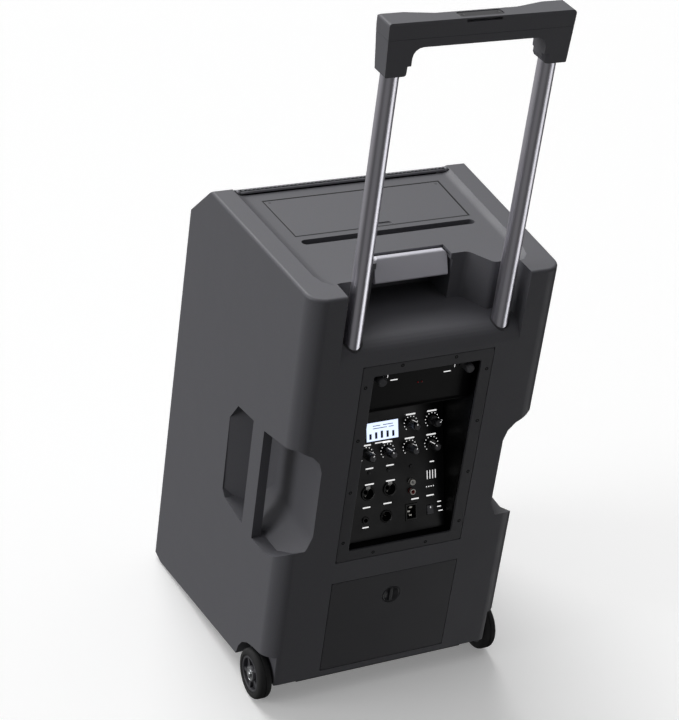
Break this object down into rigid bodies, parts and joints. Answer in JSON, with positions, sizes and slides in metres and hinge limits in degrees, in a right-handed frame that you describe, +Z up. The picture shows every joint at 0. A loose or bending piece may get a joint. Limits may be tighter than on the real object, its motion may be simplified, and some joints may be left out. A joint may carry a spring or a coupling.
{
  "type": "party speaker",
  "caption": "Wheeled battery party speaker with front grille, recessed sloping mixer panel at the rear, storage lid on top and pull-out trolley handle.",
  "frame": {"origin": "on the floor, midway between the front-most point of the grille and the rear-most point of the wheels, on the cabinet's middle plane", "axes": "+Z up, -Y towards the grille side, +Y towards the mixer panel, X across the cabinet"},
  "size_m": [0.4168, 0.396, 1.0647],
  "materials": {
    "cabinet_plastic": "matte",
    "trim_plastic": "satin",
    "pad_plastic": "satin",
    "grille_paint": "matte",
    "panel_paint": "satin",
    "driver_paint": "satin",
    "tube_alloy": "satin",
    "axle_steel": "satin",
    "contact_metal": "polished",
    "tread_rubber": "matte",
    "soft_rubber": "matte",
    "cone_paper": "matte",
    "socket_plastic": "gloss",
    "knob_plastic": "satin",
    "screen_glass": "gloss",
    "white_plastic": "gloss",
    "red_plastic": "gloss",
    "board_laminate": "satin",
    "label_ink": "matte",
    "panel_black": "gloss",
    "grille_foam": "matte"
  },
  "bodies": {
    "cabinet": {"cabinet_shell": "cabinet_plastic", "front_baffle": "trim_plastic", "front_grille": "grille_paint", "woofer_basket": "driver_paint", "woofer_surround": "soft_rubber", "woofer_cone": "cone_paper", "woofer_magnet": "driver_paint", "horn_flare": "trim_plastic", "compression_driver": "driver_paint", "storage_tray": "trim_plastic", "carry_grip_pad": "pad_plastic", "panel_frame": "trim_plastic", "panel_chassis": "panel_black", "upper_blank": "panel_black", "control_plate": "panel_paint", "display_window": "screen_glass", "phono_socket_white": "white_plastic", "phono_socket_red": "red_plastic", "line_output": "socket_plastic", "pedal_jack": "socket_plastic", "mains_inlet": "socket_plastic", "circuit_board": "board_laminate", "battery_pack": "trim_plastic", "rear_skid": "soft_rubber", "combo_socket_1": "socket_plastic", "combo_socket_2": "socket_plastic", "antenna_left": "trim_plastic", "guide_sleeve_left": "trim_plastic", "tube_collar_left": "trim_plastic", "wheel_axle_left": "axle_steel", "front_foot_left": "soft_rubber", "antenna_right": "trim_plastic", "guide_sleeve_right": "trim_plastic", "tube_collar_right": "trim_plastic", "wheel_axle_right": "axle_steel", "front_foot_right": "soft_rubber"},
    "trolley": {"trolley_tube_left": "tube_alloy", "trolley_tube_right": "tube_alloy", "grip_lower": "cabinet_plastic", "grip_upper": "cabinet_plastic"},
    "trolley_release": {"release_button": "knob_plastic"},
    "lid": {"storage_lid": "cabinet_plastic"},
    "battery_hatch": {"battery_door": "trim_plastic"},
    "hatch_lock": {"door_lock": "knob_plastic"},
    "wheel_left": {"wheel_tyre_left": "tread_rubber", "wheel_hub_left": "trim_plastic"},
    "wheel_right": {"wheel_tyre_right": "tread_rubber", "wheel_hub_right": "trim_plastic"},
    "pairing_key": {"pairing_button": "knob_plastic"},
    "rocker": {"power_rocker": "knob_plastic"},
    "knob_1": {"rotary_knob_1": "knob_plastic"},
    "knob_2": {"rotary_knob_2": "knob_plastic"},
    "knob_3": {"rotary_knob_3": "knob_plastic"},
    "knob_4": {"rotary_knob_4": "knob_plastic"},
    "knob_5": {"rotary_knob_5": "knob_plastic"},
    "knob_6": {"rotary_knob_6": "knob_plastic"},
    "channel_key_1": {"channel_button_1": "knob_plastic"},
    "channel_key_2": {"channel_button_2": "knob_plastic"}
  },
  "joints": [
    {"name": "trolley_slide", "type": "slide", "parent": "cabinet", "child": "trolley", "axis": [0, 0, -1], "range_m": [0, 0.384]},
    {"name": "release_press", "type": "slide", "parent": "trolley", "child": "trolley_release", "axis": [0, 0, -1], "range_m": [0, 0.003], "stiffness_N_per_m": 800},
    {"name": "lid_hinge", "type": "hinge", "parent": "cabinet", "child": "lid", "pos_m": [0, -0.079, 0.6832], "axis": [1, 0, 0], "range_deg": [0, 105]},
    {"name": "hatch_hinge", "type": "hinge", "parent": "cabinet", "child": "battery_hatch", "pos_m": [0, 0.1959, 0.0495], "axis": [-1, 0, 0], "range_deg": [0, 90]},
    {"name": "hatch_lock_turn", "type": "hinge", "parent": "battery_hatch", "child": "hatch_lock", "pos_m": [0.001, 0.194, 0.168], "axis": [0, -1, 0], "range_deg": [0, 90]},
    {"name": "rocker_tilt", "type": "hinge", "parent": "cabinet", "child": "rocker", "pos_m": [-0.0575, 0.16827, 0.28955], "axis": [1, 0, 0], "range_deg": [0, 14]},
    {"name": "pairing_press", "type": "slide", "parent": "cabinet", "child": "pairing_key", "axis": [0, -0.9455, -0.3256], "range_m": [0, 0.0012], "stiffness_N_per_m": 800},
    {"name": "wheel_left_roll", "type": "hinge", "parent": "cabinet", "child": "wheel_left", "pos_m": [0.1862, 0.16, 0.038], "axis": [1, 0, 0], "continuous": true},
    {"name": "wheel_right_roll", "type": "hinge", "parent": "cabinet", "child": "wheel_right", "pos_m": [-0.1862, 0.16, 0.038], "axis": [1, 0, 0], "continuous": true},
    {"name": "knob_1_turn", "type": "hinge", "parent": "cabinet", "child": "knob_1", "pos_m": [0.042, 0.13765, 0.38308], "axis": [0, -0.9455, -0.3256], "range_deg": [-140, 140]},
    {"name": "knob_2_turn", "type": "hinge", "parent": "cabinet", "child": "knob_2", "pos_m": [0.0083, 0.13765, 0.38308], "axis": [0, -0.9455, -0.3256], "range_deg": [-140, 140]},
    {"name": "knob_3_turn", "type": "hinge", "parent": "cabinet", "child": "knob_3", "pos_m": [-0.0268, 0.13765, 0.38308], "axis": [0, -0.9455, -0.3256], "range_deg": [-140, 140]},
    {"name": "knob_4_turn", "type": "hinge", "parent": "cabinet", "child": "knob_4", "pos_m": [-0.0615, 0.13765, 0.38308], "axis": [0, -0.9455, -0.3256], "range_deg": [-140, 140]},
    {"name": "knob_5_turn", "type": "hinge", "parent": "cabinet", "child": "knob_5", "pos_m": [-0.0295, 0.12632, 0.41598], "axis": [0, -0.9455, -0.3256], "range_deg": [-140, 140]},
    {"name": "knob_6_turn", "type": "hinge", "parent": "cabinet", "child": "knob_6", "pos_m": [-0.0635, 0.12632, 0.41598], "axis": [0, -0.9455, -0.3256], "range_deg": [-140, 140]},
    {"name": "channel_1_press", "type": "slide", "parent": "cabinet", "child": "channel_key_1", "axis": [0, -0.9455, -0.3256], "range_m": [0, 0.0012], "stiffness_N_per_m": 800},
    {"name": "channel_2_press", "type": "slide", "parent": "cabinet", "child": "channel_key_2", "axis": [0, -0.9455, -0.3256], "range_m": [0, 0.0012], "stiffness_N_per_m": 800}
  ]
}
